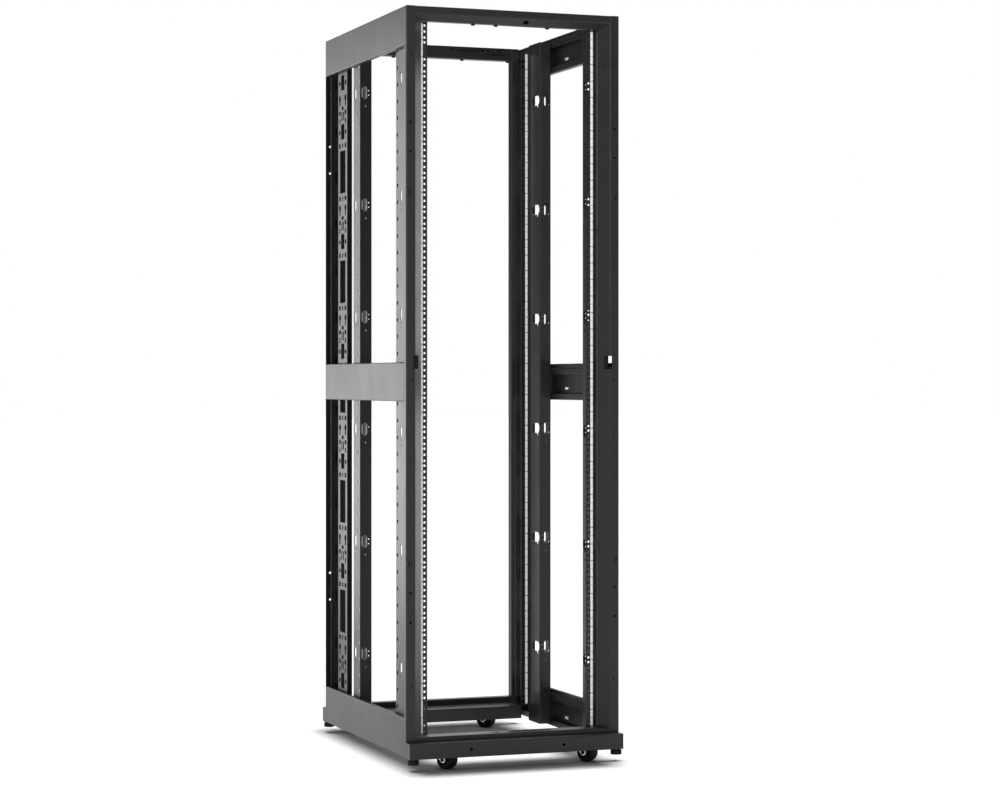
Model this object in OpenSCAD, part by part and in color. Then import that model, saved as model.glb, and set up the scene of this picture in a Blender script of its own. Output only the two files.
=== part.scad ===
// Open floor-standing 19 inch server cabinet frame on casters, in millimetres.
// The origin is on the floor at the centre of the footprint: +X right, +Y rear, +Z up.
// Most modules draw in cabinet coordinates: x from the left side, y from the front face of the
// frame, z from the underside of the frame. at_left() and at_right() move them to their place.

/* [Cabinet] */
// Number of rack units
units = 42; // [18:1:47]
// Width over the side beams
cabinet_w = 600; // [600:10:800]
// Depth of the frame between its front and rear faces
frame_d = 740; // [700:10:1100]
// Gap from the floor to the underside of the frame
ground_gap = 33; // [33:1:40]
// Thickness of the frame sheet
sheet = 2; // [1.5:0.1:2]
// Inner radius of the folds
bend_r = 0.8; // [0.4:0.1:1]

/* [Posts and headers] */
// Width of the flat front face of a post
post_flat = 25; // [22:1:30]
// Run of the slanted inner face of a front post
post_slant = 25; // [18:1:28]
// Depth of the front post's inner return
post_back = 45; // [40:1:48]
// Depth of the front post's outer return
post_return = 18; // [12:1:22]
// Width of the lip behind the front post's outer return
post_lip = 12; // [8:1:13]
// Height of both headers
header_h = 36; // [32:1:42]
// Height of the header's flat face
header_flat = 20; // [16:1:24]
// Width of a rear post
rear_post_w = 39.5; // [36:0.5:42]
// Depth of a rear post
rear_post_d = 28; // [26:1:30]

/* [Sills, plinths and side beams] */
// Height of the sill's top face
sill_h = 54; // [50:1:60]
// Height of the flange that carries the casters
deck_h = 37; // [36:1:40]
// Depth of the front caster bay, behind the front sill's face
front_bay_d = 94; // [90:1:100]
// Depth of the rear caster bay, ahead of the frame's rear face
rear_bay_d = 110; // [110:1:120]
// Height of the plinth
plinth_h = 41; // [38:1:44]
// How far a plinth stands proud of the frame
plinth_d = 30; // [28:1:40]
// Height of the top and middle side beams
beam_h = 102; // [90:1:110]
// Height of the bottom side beam
beam_bottom_h = 104; // [95:1:112]
// Distance between the small holes in a beam's inner lip
lip_pitch = 20; // [15:1:25]

/* [Rails] */
// Front face of the front rails' 19 inch flange
rail_front_y = 50; // [50:1:80]
// Rear face of the rear rails' 19 inch flange
rail_rear_y = 542; // [500:1:550]
// Depth of a rail from its flange to its web
rail_d = 86; // [80:1:95]
// Outer face of a rail, from the cabinet's side
rail_x = 16; // [14:1:18]
// Inner face of a rail's box, from the cabinet's side
rail_inner_x = 50; // [48:1:52]
// Depth of a front rail's outer side, ahead of its web's rear face
front_outer_d = 80; // [62:1:80]
// Depth of a rear rail's outer side, behind its web's front face
rear_outer_d = 62.5; // [62:0.5:80]
// Height of the lowest cable cut-outs, in units above the sill
cutout_first = 3.85; // [3:0.05:5]

/* [Casters and feet] */
// Radius of a caster wheel
wheel_r = 25; // [22:0.5:25]
// Width of a caster wheel
wheel_w = 30; // [24:1:30]
// Horizontal distance from kingpin to axle
caster_trail = 28; // [24:1:28]
// Kingpin's distance from the cabinet's side
caster_x = 102; // [98:1:120]
// Front kingpin's distance from the frame's front face
caster_front_y = 33; // [33:1:35]
// Rear kingpin's distance from the frame's rear face
caster_rear_y = 50; // [50:1:52]
// Way the front wheels trail, counter-clockwise from +X
front_trail = -60; // [-180:1:180]
// Way the rear wheels trail, counter-clockwise from +X
rear_trail = 128; // [-180:1:180]
// Gap below the frame to the underside of a levelling foot
foot_drop = 15; // [14:1:17]

/* [Hidden] */
$fn = 48;

// Charcoal powder coat, zinc plate, rubber and the pale unit strips
coat = "#3b3c3e";
rail_coat = "#333436";
zinc = "#c3c5c7";
rubber = "#161617";
pale = "#e6e6e4";

// Standard 19 inch rack: unit height, hole spacing across the rack, the square hole and its places
unit_h = 44.45;
hole_span = 465.1;
hole_side = 9.5;
hole_offsets = [6.35, 22.225, 38.1];
rack_margin = 1.1;
eps = 1;
fold_steps = 4;

// Heights, counted up from the underside of the frame
rack_h = units * unit_h;
frame_h = sill_h + rack_h + rack_margin + header_h;
header_z = frame_h - header_h;
top_beam_z = frame_h - beam_h;
brace_z = (frame_h - beam_h) / 2;

// Side beam section: a C whose upper lip has a step and a row of holes
slide_gap = 0.2;
beam_d = rail_x - slide_gap;
step_h = 12.6;
step_d = 4.8;
upper_lip_h = 17.4;
lower_lip_h = 17;
lip_hole_r = 2.6;
lip_hole_drop = step_h + upper_lip_h / 2;
lug = [2, 19, 7];
lug_z = 29;

// Posts: door hinge holes, latch opening and clip slots
hinge_x = 12.5;
hinge_gap = 77;
hinge_r = 3.2;
hinge_zs = [0.18 * frame_h, 0.806 * frame_h];
clip_zs = [0.255 * frame_h, 0.748 * frame_h];
latch_z = frame_h / 2 + 34;
latch_w = 18;
latch_h = 35;
rear_web_y = frame_d - rear_post_d;
rear_keyhole_x = rail_x + 7.5;
rear_lip_x = 8;

// Opening along the lower rear corner of the front header
header_gap = 2;

// Openings in the front sill's top face
sill_opening_y = 14;

// Plinth screw holes
plinth_hole_x = 170;
plinth_hole_z = 20;
plinth_hole_r = 4;
foot_plate_w = 36;
plinth_path = [[0, plinth_h], [-plinth_d, plinth_h], [-plinth_d, 0]];

// Rail
front_rail_z = deck_h + 2;
rear_rail_z = 6;
rail_top = frame_h - 13;
flange_z = sill_h - 3;
flange_top = header_z + 2;
hole_x = (cabinet_w - hole_span) / 2;
flange_x = hole_x + 7.5;
strip_w = 7;
strip_x = hole_x - hole_side / 2 - strip_w - 0.5;
strip_t = 0.4;
tick = [3, 1.2];
unit_hole_inset = 15;
slot_inset = 45;
cutout_inset = 32;
cutout_pitch = 7 * unit_h;
cutout_zs = [for (u = [cutout_first:7:units - 1]) sill_h + u * unit_h];
rail_screw_inset = 30;
screw_r = 3;
screw_head_r = 5.5;
screw_head_h = 3.5;
screw_clearance = 0.1;

// Zero-unit channel
channel_w = 87;
channel_front_lip = 14.5;
channel_rear_lip = 28;
channel_t = 1.5;
// Where the lowest group of small openings starts, above the row it leaves out
channel_cross_low = 90;
channel_y = rail_rear_y + 38;
channel_z = beam_bottom_h - 44;
channel_h = top_beam_z + 42 - channel_z;

// Caster, heights counted up from the floor
deck_under = ground_gap + deck_h - sheet;
plate_side = 50;
plate_t = 3;
plate_bolt = 18;
running_gap = 0.05;
pin_r = 5;
pin_head_r = 8;
fork_t = 2.5;
race_r = 18;
race_gap = 0.3;
leg_gap = 1.5;
leg_x = wheel_w / 2 + leg_gap;
eye_r = 8;
axle_r = 4;
axle_head_r = 5.5;
core_r = wheel_r - 6;
bridge_z = 2 * wheel_r + 4;
caster_rear = frame_d - caster_rear_y;

// Levelling foot
foot_x = 15;
foot_y = -plinth_d / 2;
stem_r = 4;
stem_top = 34;
pad_r = 14.8;
pad_h = 12;
nut_h = 7;
nut_r = 7.5;

// Moves cabinet coordinates to the floor-centred frame
module at_left() translate([-cabinet_w / 2, -frame_d / 2, ground_gap]) children();
module at_right() mirror([1, 0, 0]) at_left() children();
module both_sides() {
    at_left() children();
    at_right() children();
}

// Unit vector to the left of the run from p to q
function left_of(p, q) = let (d = (q - p) / norm(q - p)) [-d.y, d.x];

// Fold at point i of a path: an arc about its centre, offset to the left by 0 or by the thickness t
function fold_arc(path, i, offset, t) =
    let (
        a = left_of(path[i - 1], path[i]),
        b = left_of(path[i], path[i + 1]),
        side = sign(a.x * b.y - a.y * b.x),
        r = side > 0 ? bend_r + t : bend_r,
        centre = path[i] + side * r * (a + b) / (1 + a * b),
        turn = acos(a * b) * side,
        start = atan2(a.y, a.x)
    ) [for (k = [0:fold_steps])
        let (n = start + turn * k / fold_steps) centre - (side * r - offset) * [cos(n), sin(n)]];

// One side of a folded sheet, offset to the left of the path
function sheet_side(path, offset, t) =
    let (last = len(path) - 1) concat(
        [path[0] + offset * left_of(path[0], path[1])],
        [for (i = [1:1:last - 1]) each fold_arc(path, i, offset, t)],
        [path[last] + offset * left_of(path[last - 1], path[last])]
    );

// Section of a sheet folded along a path, with its thickness to the left
module folded(path, t = sheet)
    let (back = sheet_side(path, t, t))
        polygon(concat(sheet_side(path, 0, t), [for (i = [len(back) - 1:-1:0]) back[i]]));

// Outline in X and Z, thickened from y to y + t
module plate_y(y, t = sheet) translate([0, y + t, 0]) rotate([90, 0, 0]) linear_extrude(t) children();

// Outline in Y and Z, thickened from x to x + t
module plate_x(x, t = sheet) translate([x, 0, 0]) rotate([90, 0, 90]) linear_extrude(t) children();

// Round hole or shaft along an axis, from a point
module round_x(p, r, l) translate(p) rotate([0, 90, 0]) cylinder(r = r, h = l);
module round_y(p, r, l) translate(p) rotate([-90, 0, 0]) cylinder(r = r, h = l);

// Upright slot with round ends, as an outline about its centre
module slot_outline(w, h) {
    square([w, h - w], center = true);
    for (side = [-1, 1]) translate([0, side * (h - w) / 2]) circle(w / 2);
}

// Keyhole outline: a round head with a narrower tail below it
module keyhole_outline(r, tail_w, tail_h) {
    circle(r);
    translate([-tail_w / 2, -tail_h]) square([tail_w, tail_h]);
}

// Pan-head screw along +X: shank from the face at x = 0 through t, then the head
module screw_x(p, t) {
    round_x(p, screw_r, t + 0.5);
    round_x(p + [t, 0, 0], screw_head_r, screw_head_h - 1);
    translate(p + [t + screw_head_h - 1, 0, 0]) rotate([0, 90, 0])
        cylinder(r1 = screw_head_r, r2 = screw_head_r - 1.5, h = 1);
}

// ---------- posts ----------

// The corner that the header's slanted face keeps for itself, in X and Z
module mitre_corner() polygon([
    [post_flat, frame_h - header_flat],
    [post_flat + post_slant, header_z],
    [post_flat + 2 * post_slant, header_z - header_h],
    [post_flat + 2 * post_slant, frame_h + eps],
    [post_flat, frame_h + eps]
]);

module front_post() color(coat) difference() {
    linear_extrude(frame_h) folded([
        [post_lip, post_return], [0, post_return], [0, 0], [post_flat, 0],
        [post_flat + post_slant, post_slant], [post_flat + post_slant, post_back]
    ]);
    // The mitre at the header, and the foot that stands on the sill
    plate_y(-eps, post_back + 2 * eps) mitre_corner();
    translate([post_flat, -eps, -eps]) cube([post_slant + eps, post_back + 2 * eps, sill_h + eps]);
    // Room for the top and bottom side beams behind the flat face
    translate([-eps, sheet, -eps]) cube([post_lip + 2 * eps, post_return, beam_bottom_h + eps]);
    translate([-eps, sheet, top_beam_z]) cube([post_lip + 2 * eps, post_return, beam_h + eps]);
    // Latch opening across the fold
    translate([post_flat - 5, -eps, latch_z]) cube([latch_w, post_slant - 7, latch_h]);
    for (z = hinge_zs, k = [0, 1]) round_y([hinge_x, -eps, z + k * hinge_gap], hinge_r, sheet + 2 * eps);
    for (z = clip_zs) translate([7, -eps, z]) {
        cube([3.5, sheet + 2 * eps, 14]);
        cube([7, sheet + 2 * eps, 3]);
    }
    // Small hole square to the slanted face
    translate([post_flat + post_slant * 0.45, post_slant * 0.45, frame_h - 135]) rotate([-90, 0, 45])
        cylinder(r = 2.2, h = 10, center = true);
}

// A C section that opens outwards, with keyholes every third unit in its front web
module rear_post() color(coat) difference() {
    linear_extrude(frame_h) folded([
        [rear_lip_x, rear_web_y], [rear_post_w, rear_web_y], [rear_post_w, frame_d], [0, frame_d]
    ]);
    // Room for the three side beams beside the web
    for (span = [[-eps, beam_bottom_h], [brace_z, brace_z + beam_h], [top_beam_z, frame_h + eps]])
        translate([-eps, rear_web_y - eps, span[0]])
            cube([rail_x + eps, sheet + 2 * eps, span[1] - span[0]]);
    plate_y(rear_web_y - eps, sheet + 2 * eps) for (u = [0.2:3:units - 2])
        translate([rear_keyhole_x, sill_h + (u + 1) * unit_h]) keyhole_outline(4.8, 6, 24);
    for (z = hinge_zs, k = [0, 1])
        round_y([hinge_x, frame_d - sheet - eps, z + k * hinge_gap], hinge_r, sheet + 2 * eps);
}

// ---------- headers and sills ----------

// A box whose lower rear corner stays open by the header gap
module front_header() color(coat) difference() {
    plate_x(post_flat, cabinet_w - 2 * post_flat) folded([
        [post_back, header_z + sheet + header_gap], [post_back, frame_h], [0, frame_h],
        [0, frame_h - header_flat], [post_slant, header_z], [post_back - sheet - header_gap, header_z]
    ]);
    for (side = [0, 1]) translate([side * cabinet_w, 0, 0]) mirror([side, 0, 0])
        plate_y(-eps, post_back + 2 * eps) polygon([
            [post_flat - eps, frame_h - header_flat],
            [post_flat, frame_h - header_flat],
            [post_flat + post_slant, header_z],
            [post_flat + 2 * post_slant, header_z - header_h],
            [post_flat - eps, header_z - header_h]
        ]);
    for (part = [0.227, 0.6, 0.69, 0.772])
        round_y([part * cabinet_w, -eps, frame_h - header_flat / 2], 2, sheet + 2 * eps);
    translate([0.552 * cabinet_w, -eps, header_z + 4]) cube([14, post_slant - eps, 8]);
}

module rear_header() color(coat) difference() {
    plate_x(rear_post_w, cabinet_w - 2 * rear_post_w) folded([
        [rear_web_y, frame_h], [rear_web_y, header_z], [frame_d, header_z],
        [frame_d, frame_h], [frame_d - 12, frame_h]
    ]);
    // A long slot between two short ones and three round holes, with a groove below
    plate_y(rear_web_y - eps, sheet + 2 * eps) translate([0, header_z]) {
        translate([0.66 * cabinet_w, 23]) square([64, 3]);
        for (part = [0.5, 0.625]) translate([part * cabinet_w - 5, 26.5]) square([10, 3]);
        for (part = [0.7825, 0.812, 0.872]) translate([part * cabinet_w, 27]) circle(4);
        translate([0.79 * cabinet_w, 15]) square([62, 2]);
    }
}

module front_sill() color(coat) difference() {
    plate_x(post_flat, cabinet_w - 2 * post_flat) folded([
        [post_back, sill_h], [0, sill_h], [0, deck_h - sheet],
        [front_bay_d - sheet, deck_h - sheet], [front_bay_d - sheet, 0]
    ]);
    // Openings in the top face, as place along the sill and width
    for (opening = [[258, 18], [309, 27], [372, 80]])
        translate([opening.x - opening.y / 2, sill_opening_y, sill_h - 2 * sheet])
            cube([opening.y, 14, 3 * sheet]);
}

module rear_sill() color(coat) difference() {
    plate_x(rear_post_w, cabinet_w - 2 * rear_post_w) folded([
        [frame_d, plinth_h], [frame_d, sill_h], [rear_web_y, sill_h], [rear_web_y, deck_h],
        [frame_d - rear_bay_d, deck_h], [frame_d - rear_bay_d, 0]
    ]);
    for (k = [0:3]) round_y([0.31 * cabinet_w + 30 * k, frame_d - rear_bay_d - eps, deck_h - 12],
        2.5, sheet + 2 * eps);
}

// ---------- side beams ----------

// Section of a side beam in X and Z, from its underside: the open side faces inwards
module beam_section(h) folded([
    [beam_d, h - step_h - upper_lip_h], [beam_d, h - step_h], [beam_d - step_d, h - step_h],
    [beam_d - step_d, h], [0, h], [0, 0], [beam_d, 0], [beam_d, lower_lip_h]
]);

module side_beam(z, h, start = sheet) color(coat) translate([0, 0, z]) difference() {
    plate_y(start, frame_d - sheet - start) beam_section(h);
    for (y = [lip_pitch * 2:lip_pitch:frame_d - 1.5 * lip_pitch])
        round_x([beam_d - sheet - eps, y, h - lip_hole_drop], lip_hole_r, sheet + 2 * eps);
}

// ---------- plinths ----------

module plinth() color(coat) difference() {
    at_left() {
        plate_x(0, cabinet_w) folded(plinth_path);
        for (x = [0, cabinet_w - sheet])
            plate_x(x) polygon(concat(sheet_side(plinth_path, 0, sheet), [[0, 0]]));
        for (x = [0, cabinet_w - foot_plate_w])
            translate([x, -plinth_d, 0]) cube([foot_plate_w, plinth_d, sheet]);
    }
    both_sides() {
        translate([foot_x, foot_y, -eps]) cylinder(r = stem_r + running_gap, h = sheet + 2 * eps);
        round_y([plinth_hole_x, -plinth_d - eps, plinth_hole_z], plinth_hole_r, sheet + 2 * eps);
    }
}

// ---------- rails ----------
// A rail is drawn with its 19 inch flange at y = 0 and its box behind it

// Three holes a unit down the 19 inch flange, as outlines in X and Z: M6 ones, or square ones
module rack_holes(square_holes) for (u = [0:units - 1], z = hole_offsets)
    translate([hole_x, sill_h + u * unit_h + z])
        if (square_holes) square(hole_side, center = true); else circle(screw_r + screw_clearance);

// Openings of the inner side, in Y and Z: a wide cable cut-out with a tail, and a small hole below
module inner_openings() for (z = cutout_zs) translate([rail_d - cutout_inset, z]) {
    rotate(90) slot_outline(28, 56);
    translate([8, -20]) square([10, 20]);
    translate([13, -40]) circle(3);
}

// Openings of the web, in X and Z
module web_openings() for (z = cutout_zs) {
    translate([rail_x + 13, z]) slot_outline(15, 36);
    for (k = [-1, 1]) translate([rail_x + 25, z + k * 6.3]) circle(1.8);
    translate([rail_x + 16, z - 37]) circle(3);
}

// Openings of the outer side, in Y and Z: a square hole a unit, and a slot beside each cut-out
module outer_openings() {
    for (u = [1:units - 2]) translate([rail_d - unit_hole_inset, sill_h + (u + 0.5) * unit_h])
        square(hole_side, center = true);
    for (z = cutout_zs) translate([rail_d - slot_inset, z]) {
        slot_outline(17, 30);
        translate([0, -22]) circle(2.5);
        translate([0, -37]) circle(2);
    }
}

module rail(bottom, outer_d, square_holes) color(rail_coat) difference() {
    translate([0, 0, bottom]) linear_extrude(rail_top - bottom) folded([
        [flange_x, sheet], [rail_inner_x, sheet], [rail_inner_x, rail_d],
        [rail_x, rail_d], [rail_x, rail_d - outer_d]
    ]);
    plate_y(-eps, sheet + 2 * eps) rack_holes(square_holes);
    plate_x(rail_inner_x - sheet - eps, sheet + 2 * eps) inner_openings();
    plate_y(rail_d - sheet - eps, sheet + 2 * eps) web_openings();
    plate_x(rail_x - eps, sheet + 2 * eps) outer_openings();
    for (z = rail_screw_zs) round_x([rail_x - eps, rail_d - rail_screw_inset, z],
        screw_r + screw_clearance, sheet + 2 * eps);
    // The flange is shorter than the box
    for (span = [[bottom - eps, flange_z], [flange_top, rail_top + eps]])
        translate([rail_inner_x + bend_r, -eps, span[0]])
            cube([flange_x, sheet + 2 * eps, span[1] - span[0]]);
}

// Heights of the screws that hold a rail to the lips of the three side beams
rail_screw_zs = [
    beam_bottom_h - lip_hole_drop, brace_z + beam_h - lip_hole_drop, frame_h - lip_hole_drop
];

module rail_screws() color(zinc) for (z = rail_screw_zs)
    screw_x([rail_x, rail_d - rail_screw_inset, z], sheet);

// Pale strip with a tick each half unit, on the front-facing side of a flange that starts at y
module unit_strip(y) color(pale) plate_y(y, strip_t) difference() {
    translate([strip_x, sill_h]) square([strip_w, rack_h]);
    for (u = [0.5:0.5:units - 0.5]) translate([strip_x - eps, sill_h + u * unit_h - tick.y / 2])
        square([tick.x + eps, tick.y]);
}

module front_rail() translate([0, rail_front_y, 0]) children();
module rear_rail() translate([0, rail_rear_y, 0]) mirror([0, 1, 0]) children();

// ---------- zero-unit channel ----------

// Openings that repeat every seven units, about the centre of the large one
module channel_openings() {
    square([52, 120], center = true);
    channel_row(-75);
    channel_group();
}

// The smaller openings above a large one
module channel_group() {
    channel_row(75);
    channel_cross(114);
    for (side = [-1, 1]) {
        translate([side * 27, 145]) square([9, 14], center = true);
        translate([side * 8, 158]) square([8, 24], center = true);
        translate([side * 27, 168]) square([15, 12], center = true);
        translate([side * 27, 209]) keyhole_outline(9, 9, 21);
    }
    translate([0, 181]) square([18, 10], center = true);
}

// Three small openings side by side
module channel_row(z) for (x = [-27, 0, 27])
    translate([x, z]) square([x == 0 ? 9 : 15, 12], center = true);

// A tall opening with a small square on each side
module channel_cross(z) {
    translate([0, z]) square([31, 43], center = true);
    for (side = [-1, 1]) translate([side * 28, z - 1]) square([14, 11], center = true);
}

module channel() color(coat) {
    plate_x(rail_x, channel_t) difference() {
        translate([channel_y, channel_z]) square([channel_w, channel_h]);
        for (z = [cutout_pitch + 18:cutout_pitch:channel_h + channel_z - 260])
            translate([channel_y + channel_w / 2, z]) channel_openings();
        translate([channel_y + channel_w / 2, 18]) intersection() {
            channel_group();
            translate([-channel_w / 2, channel_cross_low]) square([channel_w, cutout_pitch]);
        }
        translate([channel_y + channel_w / 2, channel_z + channel_h - 71]) channel_cross(0);
        for (z = channel_screw_zs) translate([channel_y + 12, z]) circle(screw_r + screw_clearance);
    }
    translate([rail_x, channel_y, channel_z]) cube([channel_front_lip, channel_t, channel_h]);
    translate([rail_x, channel_y + channel_w - channel_t, channel_z])
        cube([channel_rear_lip, channel_t, channel_h]);
}

channel_screw_zs = [beam_bottom_h - lip_hole_drop, frame_h - lip_hole_drop];

// Black pan-head screws of the channels and the front posts' flat faces
module frame_screws() color(rubber) both_sides() {
    for (z = channel_screw_zs) screw_x([rail_x, channel_y + 12, z], channel_t);
    for (z = [0.095, 0.5025, 0.934] * frame_h) translate([post_flat - 9, 0, z]) rotate([90, 0, 0])
        cylinder(r1 = 3.2, r2 = 2.2, h = 1.2);
}

// Bright lugs on the inner face of each side beam
module earth_lugs() color(zinc) both_sides() for (z = [0, brace_z, top_beam_z])
    translate([sheet, frame_d / 2 - 12, z + lug_z]) cube(lug);

// ---------- casters ----------

// Places of the four kingpins, and which way each wheel trails
module front_caster(side) translate([side * (cabinet_w / 2 - caster_x), caster_front_y - frame_d / 2, 0])
    rotate(front_trail) children();
module rear_caster(side) translate([side * (cabinet_w / 2 - caster_x), caster_rear - frame_d / 2, 0])
    rotate(rear_trail) children();
module caster_places() for (side = [-1, 1]) {
    translate([side * (cabinet_w / 2 - caster_x), caster_front_y - frame_d / 2, 0]) children();
    translate([side * (cabinet_w / 2 - caster_x), caster_rear - frame_d / 2, 0]) children();
}

module caster_plates() color(zinc) caster_places() difference() {
    translate([-plate_side / 2, -plate_side / 2, deck_under - plate_t]) cube([plate_side, plate_side, plate_t]);
    translate([0, 0, deck_under - plate_t - eps]) cylinder(r = pin_r, h = plate_t + 2 * eps);
    for (x = [-1, 1], y = [-1, 1]) translate([x * plate_bolt, y * plate_bolt, deck_under - plate_t - eps])
        cylinder(r = screw_r, h = plate_t + 2 * eps);
}

// Hexagon-head screws under each plate
module caster_bolts() color(zinc) caster_places() for (x = [-1, 1], y = [-1, 1])
    translate([x * plate_bolt, y * plate_bolt, deck_under - plate_t]) {
        cylinder(r = screw_r, h = plate_t);
        translate([0, 0, -2.5]) cylinder(r = 5, h = 2.5, $fn = 6);
    }

// Pin riveted into the plate, with a head that carries the fork
module kingpins() color(zinc) caster_places() {
    translate([0, 0, bridge_z - 2]) cylinder(r = pin_r, h = deck_under - bridge_z + 2);
    translate([0, 0, bridge_z - 2.5]) cylinder(r = pin_head_r, h = 2);
}

// Fork about the kingpin at the origin, with its wheel trailing along +X
module fork() color(zinc) difference() {
    union() {
        translate([0, 0, bridge_z]) cylinder(r = race_r, h = deck_under - plate_t - race_gap - bridge_z);
        translate([-race_r + 4, -leg_x - fork_t, bridge_z]) cube([race_r * 2 - 4, 2 * (leg_x + fork_t), fork_t]);
        for (side = [-1, 1]) translate([0, side * (leg_x + fork_t / 2) - fork_t / 2, 0])
            plate_y(0, fork_t) {
                polygon([
                    [4 - race_r, bridge_z + fork_t], [race_r, bridge_z + fork_t],
                    [caster_trail + eye_r, wheel_r], [caster_trail - 4, wheel_r - eye_r * 0.87]
                ]);
                translate([caster_trail, wheel_r]) circle(eye_r);
            }
    }
    translate([0, 0, bridge_z - eps]) cylinder(r = pin_r + running_gap, h = deck_under - bridge_z);
    round_y([caster_trail, -leg_x - fork_t - eps, wheel_r], axle_r, 2 * (leg_x + fork_t + eps));
}

module axle() color(rubber) {
    round_y([caster_trail, -leg_x - fork_t, wheel_r], axle_r, 2 * (leg_x + fork_t));
    for (side = [0, 1]) mirror([0, side, 0])
        round_y([caster_trail, leg_x + fork_t, wheel_r], axle_head_r, 2);
}

module hub() color(rubber) translate([caster_trail, 0, wheel_r]) rotate([90, 0, 0])
    rotate_extrude() polygon([
        [axle_r + running_gap, -leg_x + 0.3], [axle_r + 4, -leg_x + 0.3], [axle_r + 4, 3 - wheel_w / 2],
        [core_r - 4, 3 - wheel_w / 2], [core_r - 3, -wheel_w / 2], [core_r, -wheel_w / 2],
        [core_r, wheel_w / 2], [core_r - 3, wheel_w / 2], [core_r - 4, wheel_w / 2 - 3],
        [axle_r + 4, wheel_w / 2 - 3], [axle_r + 4, leg_x - 0.3], [axle_r + running_gap, leg_x - 0.3]
    ]);

module tyre() color(rubber) translate([caster_trail, 0, wheel_r]) rotate([90, 0, 0])
    rotate_extrude() polygon([
        [core_r, -wheel_w / 2], [wheel_r - 2, -wheel_w / 2], [wheel_r - 0.6, 1.2 - wheel_w / 2],
        [wheel_r, 4 - wheel_w / 2], [wheel_r, wheel_w / 2 - 4], [wheel_r - 0.6, wheel_w / 2 - 1.2],
        [wheel_r - 2, wheel_w / 2], [core_r, wheel_w / 2]
    ]);

// ---------- levelling feet ----------

module foot_place(side, end)
    translate([side * (cabinet_w / 2 - foot_x), end * (frame_d / 2 - foot_y), ground_gap]) children();

module foot_nuts() color(zinc) for (side = [-1, 1], end = [-1, 1]) foot_place(side, end)
    translate([0, 0, sheet]) difference() {
        cylinder(r = nut_r, h = nut_h, $fn = 6);
        translate([0, 0, -eps]) cylinder(r = stem_r + running_gap, h = nut_h + 2 * eps);
    }

module stem(side, end) color(zinc) foot_place(side, end) {
    translate([0, 0, 4 - foot_drop]) cylinder(r = stem_r, h = stem_top + foot_drop - 5);
    translate([0, 0, stem_top - 1]) cylinder(r1 = stem_r, r2 = stem_r - 1, h = 1);
}

module pad(side, end) color(rubber) foot_place(side, end) translate([0, 0, -foot_drop]) difference() {
    rotate_extrude() polygon([
        [0, 0], [pad_r - 1, 0], [pad_r, 1], [pad_r, pad_h - 1], [pad_r - 1, pad_h], [0, pad_h]
    ]);
    translate([0, 0, 4 - running_gap]) cylinder(r = stem_r + running_gap, h = pad_h);
}

at_left() front_post();  // post_front_left
at_right() front_post();  // post_front_right
at_left() rear_post();  // post_rear_left
at_right() rear_post();  // post_rear_right
at_left() front_header();  // header_front
at_left() rear_header();  // header_rear
at_left() front_sill();  // sill_front
at_left() rear_sill();  // sill_rear
at_left() side_beam(top_beam_z, beam_h);  // beam_top_left
at_right() side_beam(top_beam_z, beam_h);  // beam_top_right
at_left() side_beam(brace_z, beam_h, post_return);  // brace_left
at_right() side_beam(brace_z, beam_h, post_return);  // brace_right
at_left() side_beam(0, beam_bottom_h);  // beam_bottom_left
at_right() side_beam(0, beam_bottom_h);  // beam_bottom_right
plinth();  // plinth_front
mirror([0, 1, 0]) plinth();  // plinth_rear
at_left() front_rail() rail(front_rail_z, front_outer_d, false);  // rail_front_left
at_right() front_rail() rail(front_rail_z, front_outer_d, false);  // rail_front_right
at_left() rear_rail() rail(rear_rail_z, rear_outer_d, true);  // rail_rear_left
at_right() rear_rail() rail(rear_rail_z, rear_outer_d, true);  // rail_rear_right
at_left() front_rail() unit_strip(-strip_t);  // unit_strip_front_left
at_right() front_rail() unit_strip(-strip_t);  // unit_strip_front_right
at_left() rear_rail() unit_strip(sheet);  // unit_strip_rear_left
at_right() rear_rail() unit_strip(sheet);  // unit_strip_rear_right
at_left() front_rail() rail_screws();  // rail_screws_front_left
at_right() front_rail() rail_screws();  // rail_screws_front_right
at_left() rear_rail() rail_screws();  // rail_screws_rear_left
at_right() rear_rail() rail_screws();  // rail_screws_rear_right
at_left() channel();  // channel_left
at_right() channel();  // channel_right
frame_screws();
earth_lugs();
caster_plates();
caster_bolts();
kingpins();
front_caster(-1) fork();  // fork_front_left
front_caster(1) fork();  // fork_front_right
rear_caster(-1) fork();  // fork_rear_left
rear_caster(1) fork();  // fork_rear_right
front_caster(-1) axle();  // axle_front_left
front_caster(1) axle();  // axle_front_right
rear_caster(-1) axle();  // axle_rear_left
rear_caster(1) axle();  // axle_rear_right
front_caster(-1) hub();  // hub_front_left
front_caster(1) hub();  // hub_front_right
rear_caster(-1) hub();  // hub_rear_left
rear_caster(1) hub();  // hub_rear_right
front_caster(-1) tyre();  // tyre_front_left
front_caster(1) tyre();  // tyre_front_right
rear_caster(-1) tyre();  // tyre_rear_left
rear_caster(1) tyre();  // tyre_rear_right
foot_nuts();
stem(-1, -1);  // stem_front_left
stem(1, -1);  // stem_front_right
stem(-1, 1);  // stem_rear_left
stem(1, 1);  // stem_rear_right
pad(-1, -1);  // pad_front_left
pad(1, -1);  // pad_front_right
pad(-1, 1);  // pad_rear_left
pad(1, 1);  // pad_rear_right
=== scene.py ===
"""Looks of an open 19 inch server cabinet frame: finishes, small dark fittings, black plates and plugs of
painted shade in the front posts' slots and holes, and a white studio.
"""

import math

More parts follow.
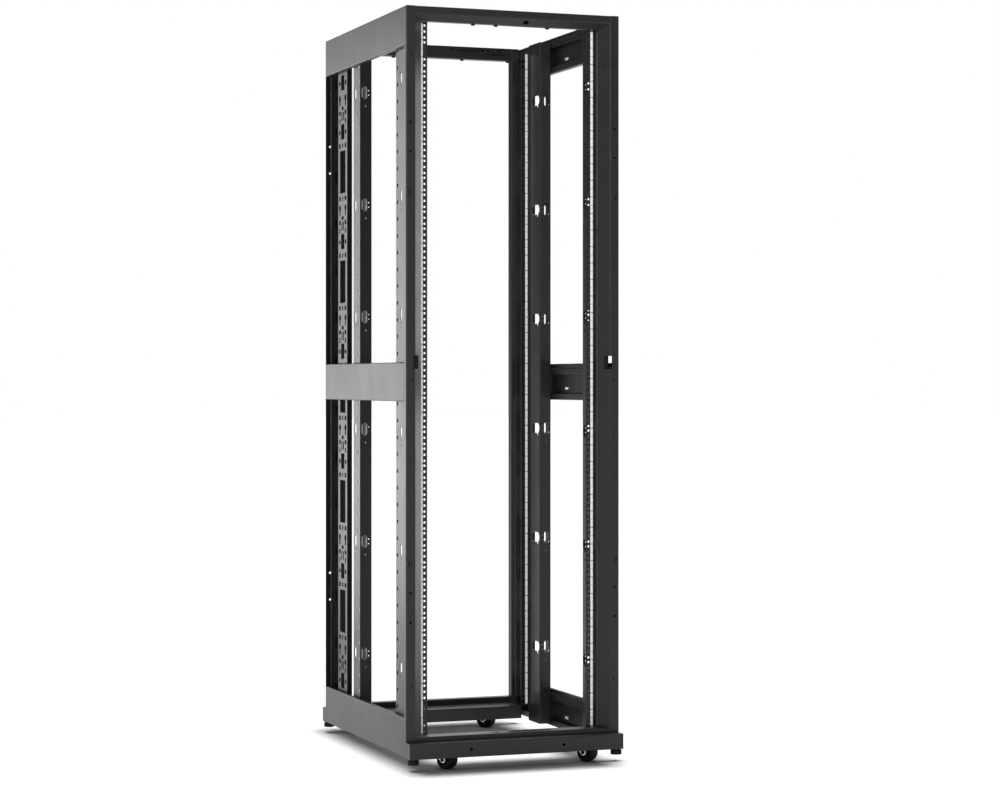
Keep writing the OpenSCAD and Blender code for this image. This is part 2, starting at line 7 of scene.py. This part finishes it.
import bmesh
import bpy
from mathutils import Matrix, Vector


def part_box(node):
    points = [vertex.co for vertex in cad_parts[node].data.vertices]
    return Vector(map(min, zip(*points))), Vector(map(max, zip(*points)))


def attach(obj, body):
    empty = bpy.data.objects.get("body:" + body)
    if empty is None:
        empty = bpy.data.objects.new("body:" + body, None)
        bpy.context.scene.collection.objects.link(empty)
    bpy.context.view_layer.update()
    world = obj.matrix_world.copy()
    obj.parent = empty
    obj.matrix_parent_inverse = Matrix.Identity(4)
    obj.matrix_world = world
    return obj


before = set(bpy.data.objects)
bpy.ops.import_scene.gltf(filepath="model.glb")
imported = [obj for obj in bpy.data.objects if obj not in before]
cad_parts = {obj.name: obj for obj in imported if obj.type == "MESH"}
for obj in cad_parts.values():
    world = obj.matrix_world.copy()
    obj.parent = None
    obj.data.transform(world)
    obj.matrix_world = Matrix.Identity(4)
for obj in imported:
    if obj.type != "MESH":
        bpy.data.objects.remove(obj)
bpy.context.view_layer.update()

MM = 0.001

# Camera: level, about a metre above the floor, with the lens shifted
CAMERA_PLACE = (-2.323, -6.523, 1.012)
CAMERA_LOOK = (0.3366, 0.9417, 0.0)
CAMERA_LENS = 89.75
CAMERA_SENSOR = 36.0
CAMERA_SHIFT = (0.03, -0.0182)

# Base tone of the charcoal powder coat, and its worn edges: rounding seen, patch size and strength
COAT = 0.014
EDGE_RADIUS = 0.6 * MM
EDGE_PATCH = 9 * MM
EDGE_WEAR = 0.35

# Printed unit lines: rack unit, thickness of a half-unit line, its tone, and where the strips start
UNIT = 44.45 * MM
TICK = 1.2 * MM
TICK_TONE = 0.28
STRIP_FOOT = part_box("unit_strip_front_left")[0].z


# ---------- node helpers ----------


def add(tree, kind, inputs=None, **settings):
    """Adds a shader node. An input that is a socket is linked, and any other is set."""
    node = tree.nodes.new("ShaderNode" + kind)
    for key, value in settings.items():
        setattr(node, key, value)
    for key, value in (inputs or {}).items():
        feed(tree, node.inputs[key], value)
    return node


def feed(tree, socket, value):
    """Links the socket to value if that is a socket too, and otherwise sets it."""
    if isinstance(value, bpy.types.NodeSocket):
        tree.links.new(value, socket)
    else:
        socket.default_value = value


def bare_tree(owner):
    """Gives a material or world an empty node tree."""
    owner.use_nodes = True
    owner.node_tree.nodes.clear()
    return owner.node_tree


def noise(tree, place, size, detail=2.0):
    """Noise from 0 to 1 whose lumps are about size metres wide."""
    inputs = {"Vector": place, "Scale": 1 / size, "Detail": detail}
    return add(tree, "TexNoise", inputs).outputs["Fac"]


def remap(tree, value, low, high, to_low, to_high):
    """Takes value from low..high to to_low..to_high, held at the ends."""
    inputs = {"Value": value, "From Min": low, "From Max": high, "To Min": to_low, "To Max": to_high}
    return add(tree, "MapRange", inputs).outputs["Result"]


def math_node(tree, operation, a, b):
    return add(tree, "Math", {0: a, 1: b}, operation=operation).outputs[0]


def alignment(tree, a, b):
    """Dot product of two directions."""
    return add(tree, "VectorMath", {0: a, 1: b}, operation="DOT_PRODUCT").outputs["Value"]


def mix(tree, share, a, b):
    """Colour a at share 0 and b at share 1."""
    node = add(tree, "Mix", data_type="RGBA")
    sockets = [s for s in node.inputs if s.type == "RGBA"]
    for socket, value in ((node.inputs["Factor"], share), (sockets[0], a), (sockets[1], b)):
        feed(tree, socket, value)
    return next(s for s in node.outputs if s.type == "RGBA")


def grey(value, warmth=0.0):
    return (value * (1 + warmth), value, value * (1 - warmth), 1.0)


def new_material(name, metallic=0.0):
    """A material, its tree, its Principled node and the object's own coordinates."""
    made = bpy.data.materials.new(name)
    tree = bare_tree(made)
    out = tree.nodes.new("ShaderNodeOutputMaterial")
    shader = add(tree, "BsdfPrincipled", {"Metallic": metallic})
    tree.links.new(shader.outputs[0], out.inputs["Surface"])
    return made, tree, shader, add(tree, "TexCoord").outputs["Object"]


def edge_mask(tree, place, radius, grain, amount):
    """Patchy mask, 1 on worn edges, from how far a rounded normal turns from the face's own.

    Returns it and the rounded normal.
    """
    rounded = add(tree, "Bevel", {"Radius": radius}, samples=4).outputs[0]
    flat = add(tree, "NewGeometry").outputs["Normal"]
    edge = remap(tree, alignment(tree, rounded, flat), 0.97, 0.80, 0.0, 1.0)
    patch = remap(tree, noise(tree, place, grain, 4.0), 0.50, 0.66, 0.0, amount)
    return math_node(tree, "MULTIPLY", edge, patch), rounded


def finish_shader(tree, shader, colour, roughness, height, depth, normal=None):
    """Joins the colour, the roughness and a bump of that depth in metres."""
    tree.links.new(colour, shader.inputs["Base Color"])
    tree.links.new(roughness, shader.inputs["Roughness"])
    inputs = {"Height": height, "Strength": 0.6, "Distance": depth}
    if normal is not None:
        inputs["Normal"] = normal
    tree.links.new(add(tree, "Bump", inputs).outputs["Normal"], shader.inputs["Normal"])


# ---------- materials ----------


def powder_coat(name, base, rough):
    """Charcoal coat with a fine texture, slow drifts of tone and thin wear along the cut edges."""
    made, tree, shader, place = new_material(name)
    drift = noise(tree, place, 0.35, 3.0)
    grain = noise(tree, place, 1.1 * MM, 2.0)
    piece = add(tree, "ObjectInfo").outputs["Random"]
    share = remap(tree, drift, 0.3, 0.7, 0.0, 1.0)
    tone = mix(tree, share, grey(base * 0.94), grey(base * 1.05, -0.015))
    tone = mix(tree, remap(tree, piece, 0.0, 1.0, 0.0, 0.25), tone, grey(base * 1.2, -0.01))
    tone = mix(tree, remap(tree, grain, 0.35, 0.75, 0.0, 0.35), tone, grey(base * 1.5))
    worn, rounded = edge_mask(tree, place, EDGE_RADIUS, EDGE_PATCH, EDGE_WEAR)
    tone = mix(tree, worn, tone, grey(base * 4.0))
    smudge = noise(tree, place, 0.09, 5.0)
    roughness = remap(tree, smudge, 0.3, 0.7, rough - 0.02, rough + 0.03)
    coarse = noise(tree, place, 2.6 * MM, 1.0)
    relief = math_node(tree, "ADD", grain, coarse)
    finish_shader(tree, shader, tone, roughness, relief, 0.035 * MM, rounded)
    shader.inputs["Specular IOR Level"].default_value = 0.36
    return made


def zinc(name, base, rough, blotch, metallic):
    """Zinc plate: slightly cloudy, faintly blue and yellow, with fine scratches."""
    made, tree, shader, place = new_material(name, metallic)
    cloud = noise(tree, place, blotch, 4.0)
    share = remap(tree, cloud, 0.35, 0.65, 0.0, 1.0)
    tone = mix(tree, share, grey(base * 0.86, -0.02), grey(base, 0.012))
    stretched = add(tree, "Mapping", {"Vector": place, "Scale": (1.0, 1.0, 9.0)}).outputs[0]
    scratch = noise(tree, stretched, 2.2 * MM, 3.0)
    tone = mix(tree, remap(tree, scratch, 0.62, 0.72, 0.0, 0.25), tone, grey(base * 0.6))
    roughness = remap(tree, cloud, 0.3, 0.7, rough - 0.07, rough + 0.08)
    finish_shader(tree, shader, tone, roughness, scratch, 0.02 * MM)
    return made


def moulded(name, base, rough, lump, depth):
    """Moulded rubber or nylon: dark, with a matt grain and a little dust."""
    made, tree, shader, place = new_material(name)
    grain = noise(tree, place, lump, 3.0)
    dust = noise(tree, place, 14 * MM, 5.0)
    share = remap(tree, grain, 0.3, 0.7, 0.0, 1.0)
    tone = mix(tree, share, grey(base * 0.85), grey(base * 1.2))
    tone = mix(tree, remap(tree, dust, 0.5, 0.8, 0.0, 0.10), tone, grey(0.05, 0.02))
    roughness = remap(tree, dust, 0.3, 0.7, rough - 0.06, rough + 0.1)
    finish_shader(tree, shader, tone, roughness, grain, depth)
    shader.inputs["Specular IOR Level"].default_value = 0.18
    return made


def printed_film(name):
    """Matt off-white film with a soft sheen, faint handling marks and a printed line each half unit."""
    made, tree, shader, place = new_material(name)
    marks = noise(tree, place, 18 * MM, 5.0)
    fibre = noise(tree, place, 0.8 * MM, 2.0)
    share = remap(tree, marks, 0.5, 0.75, 0.0, 0.5)
    tone = mix(tree, share, grey(0.90, 0.004), grey(0.80, 0.015))
    world_place = add(tree, "NewGeometry").outputs["Position"]
    height = add(tree, "SeparateXYZ", {"Vector": world_place}).outputs["Z"]
    for pitch, line in ((UNIT / 2, TICK), (UNIT, 2 * TICK)):
        above_foot = math_node(tree, "SUBTRACT", height, STRIP_FOOT - line / 2)
        turns = math_node(tree, "DIVIDE", above_foot, pitch)
        along = math_node(tree, "FRACT", turns, 0.0)
        printed = math_node(tree, "LESS_THAN", along, line / pitch)
        tone = mix(tree, printed, tone, grey(TICK_TONE))
    roughness = remap(tree, marks, 0.3, 0.7, 0.38, 0.5)
    finish_shader(tree, shader, tone, roughness, fibre, 0.01 * MM)
    return made


FINISHES = {
    "frame_coat": powder_coat("frame_coat_looks", COAT, 0.38),
    "rail_coat": powder_coat("rail_coat_looks", COAT, 0.36),
    "unit_strip": printed_film("unit_strip_looks"),
    "zinc_screw": zinc("zinc_screw_looks", 0.60, 0.34, 4 * MM, 0.8),
    "zinc_sheet": zinc("zinc_sheet_looks", 0.72, 0.42, 12 * MM, 0.15),
    "wheel_core": moulded("wheel_core_looks", 0.006, 0.42, 1.5 * MM, 0.03 * MM),
    "tyre": moulded("tyre_looks", 0.005, 0.58, 0.9 * MM, 0.05 * MM),
    "foot_rubber": moulded("foot_rubber_looks", 0.005, 0.62, 1.0 * MM, 0.06 * MM),
    "axle_black": moulded("axle_black_looks", 0.006, 0.35, 1.2 * MM, 0.02 * MM),
}


def dress(node):
    """Gives a CAD node the finish of its material slot."""
    for slot in node.material_slots:
        made = FINISHES[slot.material.name]
        slot.link = "OBJECT"
        slot.material = made


for cad_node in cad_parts.values():
    dress(cad_node)


# ---------- small dark fittings on the frame, and black plates and plugs of painted shade in the front posts ---

FITTING_SLOT = "axle_black"
TURN_STEPS = 24

# Press-in studs under the headers: radius, height, and where each stands
STUD_R = 6 * MM
STUD_H = 4 * MM
STUD_PROFILE = (
    (STUD_R, 0.0),
    (STUD_R, 0.45 * STUD_H),
    (0.82 * STUD_R, 0.85 * STUD_H),
    (0.5 * STUD_R, STUD_H),
)
STUD_ROWS = {
    "header_front": (-0.335, (-0.103, -0.039, 0.107)),
    "header_rear": (0.355, (-0.100, 0.110, 0.253)),
}

# Closed-end threaded inserts behind the two screw holes of each plinth: distance from the cabinet's
# middle, height over the plinth's foot, and the plinth's sheet. Profiles give radius and depth
INSERT_X = 0.130
INSERT_Z = 20 * MM
SHEET = 2 * MM
INSERT_PROFILE = ((4 * MM, 12 * MM), (4 * MM, 0.0), (6.5 * MM, 0.0), (6.5 * MM, 14 * MM))

# Black plug behind the small hole in each front post's slanted face, painted shade that makes the hole read
# dark instead of showing the backdrop: the face starts that far in from the post's outer edge, the hole is
# further along it, and the post's sheet is measured along one axis
SLANT_START = 25 * MM
SLANT_HOLE = 0.45 * 25 * MM
SLANT_SHEET = 1.4 * MM
SLANT_DROP = 135 * MM
SLANT_SHADE_PROFILE = ((2.2 * MM, 7 * MM), (2.2 * MM, 0.0), (4.2 * MM, 0.0), (4.2 * MM, 9 * MM))

# Black plates inside the front posts, painted shade that makes the slots read dark instead of showing the
# backdrop: behind the inner half of each lock slot, and behind each clip slot.
# Each has its distance from the post's outer edge and front, its height from the post's middle and its size
CLIP_SHADE_SIZE = (11 * MM, 6 * MM, 22 * MM)
POST_SHADE_PLATES = (
    ("keeper", 31.5 * MM, 15.75 * MM, 51.5 * MM, (14 * MM, 1.5 * MM, 41 * MM)),
    ("clip_lower", 10.5 * MM, 5.2 * MM, -472.7 * MM, CLIP_SHADE_SIZE),
    ("clip_upper", 10.5 * MM, 5.2 * MM, 492.6 * MM, CLIP_SHADE_SIZE),
)


def add_object(name, data):
    made = bpy.data.objects.new(name, data)
    bpy.context.scene.collection.objects.link(made)
    return made


def add_fitting(name, mesh, place):
    """Makes the bmesh a black piece that rides on the frame."""
    data = bpy.data.meshes.new(name)
    mesh.to_mesh(data)
    mesh.free()
    data.materials.append(FINISHES[FITTING_SLOT])
    made = add_object(name, data)
    made.location = place
    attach(made, "frame")


def turned(name, profile, way, place, smooth=False):
    """Solid turned about an axis through place along way.

    The profile holds radius and distance along the axis.
    """
    mesh = bmesh.new()
    angles = [2 * math.pi * k / TURN_STEPS for k in range(TURN_STEPS)]
    rows = [
        [mesh.verts.new((r * math.cos(a), r * math.sin(a), along)) for a in angles]
        for r, along in profile
    ]
    for upper, lower in zip(rows, rows[1:]):
        for k in range(TURN_STEPS):
            after = (k + 1) % TURN_STEPS
            mesh.faces.new((upper[k], lower[k], lower[after], upper[after]))
    mesh.faces.new(rows[0])
    mesh.faces.new(list(reversed(rows[-1])))
    bmesh.ops.recalc_face_normals(mesh, faces=mesh.faces[:])
    mesh.transform(Vector(way).to_track_quat("Z", "Y").to_matrix().to_4x4())
    for face in mesh.faces:
        face.smooth = smooth and len(face.verts) == 4
    add_fitting(name, mesh, place)


def block(name, place, size):
    mesh = bmesh.new()
    bmesh.ops.create_cube(mesh, size=1.0)
    bmesh.ops.scale(mesh, vec=size, verts=mesh.verts[:])
    add_fitting(name, mesh, place)


for header, (y, xs) in STUD_ROWS.items():
    for count, x in enumerate(xs):
        place = (x, y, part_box(header)[0].z)
        turned(f"{header}_stud_{count}", STUD_PROFILE, (0, 0, -1), place, smooth=True)

for plinth, inward in (("plinth_front", 1), ("plinth_rear", -1)):
    low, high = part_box(plinth)
    inside = (low.y if inward > 0 else high.y) + inward * SHEET
    for label, side in (("left", -1), ("right", 1)):
        place = (side * INSERT_X, inside, low.z + INSERT_Z)
        turned(f"{plinth}_insert_{label}", INSERT_PROFILE, (0, inward, 0), place)

for label, side in (("left", -1), ("right", 1)):
    low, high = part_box(f"post_front_{label}")
    outer = high.x if side > 0 else low.x
    middle = (low.z + high.z) / 2
    # painted shade: black plates behind the post's lock and clip slots
    for kind, inset, depth, rise, size in POST_SHADE_PLATES:
        block(f"post_{kind}_{label}", (outer - side * inset, low.y + depth, middle + rise), size)
    # painted shade: a black plug behind the hole in the slanted face
    across = SLANT_START + SLANT_HOLE - SLANT_SHEET
    place = (outer - side * across, low.y + SLANT_HOLE + SLANT_SHEET, high.z - SLANT_DROP)
    turned(f"post_insert_{label}", SLANT_SHADE_PROFILE, (side, 1, 0), place)


# ---------- studio ----------

# The world's brightness to the camera, as a light and at its backdrop wall, and the way to that wall
WORLD_SEEN = 1.0
WORLD_LIT = 0.06
WORLD_WALL = 1.3
WALL_WAY = (0.335, 0.936, 0.105)

FLOOR_REACH = 60.0

# Unseen ring over the floor: its outer and inner rectangle, its height, and what it lets through
SHADE_OUTER = ((-0.305, -0.480), (0.265, 0.46))
SHADE_INNER = ((-0.18, -0.27), (0.18, 0.20))
SHADE_HEIGHT = 0.1
SHADE_CLEAR = 0.06

# Suns: spread in degrees, the way they shine and their strength
SUN_SPREAD = 55
FLOOR_SUN = ((0, 0, -1), 3.9)
OVERHEAD_SUN = ((-0.2, -0.35, -1.0), 2.6)

# Softboxes: place, the point faced, size and watts
LEFT_REAR_BOX = ((-2.6, 4.6, 1.2), (-0.3, 0.0, 1.0), (1.6, 3.0), 84)
LEFT_BOX = ((-4.2, 0.2, 1.8), (0, 0, 1.0), (2.0, 2.6), 30)
RIGHT_BOX = ((4.0, 0.8, 1.2), (0, 0, 1.0), (1.6, 2.6), 85)
FRONT_BOX = ((-1.8, -4.2, 2.6), (0, 0, 1.0), (2.0, 2.0), 122)
LOW_BOX = ((-3.0, -2.2, 0.35), (-0.2, 0.0, 0.06), (1.0, 0.5), 80)


def group_of(label, objects):
    group = bpy.data.collections.new(label)
    for item in objects:
        group.objects.link(item)
    return group


def face_along(item, way):
    """Turns a light or camera to look along way."""
    item.rotation_euler = Vector(way).to_track_quat("-Z", "Y").to_euler()


def area_light(name, place, aim, size, power):
    """Rectangular softbox at place, facing aim."""
    data = bpy.data.lights.new(name, "AREA")
    data.shape = "RECTANGLE"
    data.size, data.size_y = size
    data.energy = power
    light = add_object(name, data)
    light.location = place
    face_along(light, Vector(aim) - Vector(place))
    light.visible_camera = False
    return light


def sun(name, way, strength):
    """Broad even light, shining along way."""
    data = bpy.data.lights.new(name, "SUN")
    data.angle = math.radians(SUN_SPREAD)
    data.energy = strength
    light = add_object(name, data)
    face_along(light, way)
    return light


def limit_light(light, receivers, blockers):
    """The light reaches only the receivers, and only the blockers shadow it."""
    light.light_linking.receiver_collection = receivers
    light.light_linking.blocker_collection = blockers


def make_world():
    """White to the camera. As a light, it is dim grey with a brighter backdrop wall."""
    world = bpy.data.worlds.new("studio")
    tree = bare_tree(world)
    ray = add(tree, "LightPath").outputs["Is Camera Ray"]
    way = add(tree, "TexCoord").outputs["Generated"]
    glow = remap(tree, alignment(tree, way, WALL_WAY), 0.90, 0.985, WORLD_LIT, WORLD_WALL)
    strength = add(tree, "Mix", {"Factor": ray, "A": glow, "B": WORLD_SEEN}).outputs["Result"]
    background = add(tree, "Background", {"Color": (1.0, 1.0, 1.0, 1.0), "Strength": strength})
    out = tree.nodes.new("ShaderNodeOutputWorld")
    tree.links.new(background.outputs[0], out.inputs["Surface"])
    bpy.context.scene.world = world


def rectangle(low, high, height):
    """Corners of a level rectangle, in order round it."""
    return [(x, y, height) for x, y in (low, (high[0], low[1]), high, (low[0], high[1]))]


def stage_mesh(name, corners, faces, material):
    """A piece of the studio, which isn't part of the object."""
    mesh = bpy.data.meshes.new(name)
    mesh.from_pydata(corners, [], faces)
    mesh.materials.append(material)
    made = add_object(name, mesh)
    made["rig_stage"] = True
    return made


def make_floor():
    """Plain white floor."""
    made, tree, shader, place = new_material("floor_paper")
    tone = mix(tree, noise(tree, place, 0.8, 2.0), grey(0.86), grey(0.90))
    tree.links.new(tone, shader.inputs["Base Color"])
    shader.inputs["Roughness"].default_value = 0.9
    shader.inputs["Specular IOR Level"].default_value = 0.0
    corners = rectangle((-FLOOR_REACH, -FLOOR_REACH), (FLOOR_REACH, FLOOR_REACH), 0)
    return stage_mesh("floor", corners, [(0, 1, 2, 3)], made)


def make_shade():
    """Unseen ring over the floor that deepens the soft shadow at the cabinet's foot."""
    corners = rectangle(*SHADE_OUTER, SHADE_HEIGHT) + rectangle(*SHADE_INNER, SHADE_HEIGHT)
    faces = [(k, (k + 1) % 4, (k + 1) % 4 + 4, k + 4) for k in range(4)]
    film = bpy.data.materials.new("shade_film")
    tree = bare_tree(film)
    clear = add(tree, "BsdfTransparent", {"Color": grey(SHADE_CLEAR)}).outputs[0]
    out = tree.nodes.new("ShaderNodeOutputMaterial")
    tree.links.new(clear, out.inputs["Surface"])
    shade = stage_mesh("shade", corners, faces, film)
    shade.visible_camera = shade.visible_diffuse = shade.visible_glossy = False
    return shade


def make_camera():
    data = bpy.data.cameras.new("camera")
    data.lens = CAMERA_LENS
    data.sensor_width = CAMERA_SENSOR
    data.shift_x, data.shift_y = CAMERA_SHIFT
    camera = add_object("camera", data)
    camera.location = CAMERA_PLACE
    face_along(camera, CAMERA_LOOK)
    bpy.context.scene.camera = camera


make_world()
floor = make_floor()
shade = make_shade()

pieces = [o for o in bpy.context.scene.objects if o.type == "MESH" and "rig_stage" not in o]
rear_left = ("rail_rear_left", "post_rear_left", "channel_left")


def starting(*starts):
    """The pieces whose names start with one of these."""
    return [o for o in pieces if o.name.startswith(starts)]


all_pieces = group_of("all_pieces", pieces)
left_and_middle = group_of("left_and_middle", [o for o in pieces if not o.name.endswith("_right")])
front_lit = group_of("front_lit", [o for o in pieces if o.name not in rear_left])
casters = group_of("casters", starting("fork_", "axle_", "hub_", "tyre_"))
forks = group_of("forks", starting("fork_"))
floor_only = group_of("floor_only", [floor])
on_floor = starting("tyre_", "pad_", "plinth_front", "plinth_rear")
floor_shaders = group_of("floor_shaders", [shade, *on_floor])

limit_light(sun("floor_sun", *FLOOR_SUN), floor_only, floor_shaders)
limit_light(sun("overhead", *OVERHEAD_SUN), all_pieces, all_pieces)
limit_light(area_light("left_rear", *LEFT_REAR_BOX), left_and_middle, all_pieces)
limit_light(area_light("left", *LEFT_BOX), left_and_middle, all_pieces)
limit_light(area_light("right", *RIGHT_BOX), left_and_middle, all_pieces)
limit_light(area_light("front", *FRONT_BOX), front_lit, all_pieces)
limit_light(area_light("low", *LOW_BOX), forks, casters)
make_camera()
bpy.context.scene.view_settings.view_transform = "Standard"
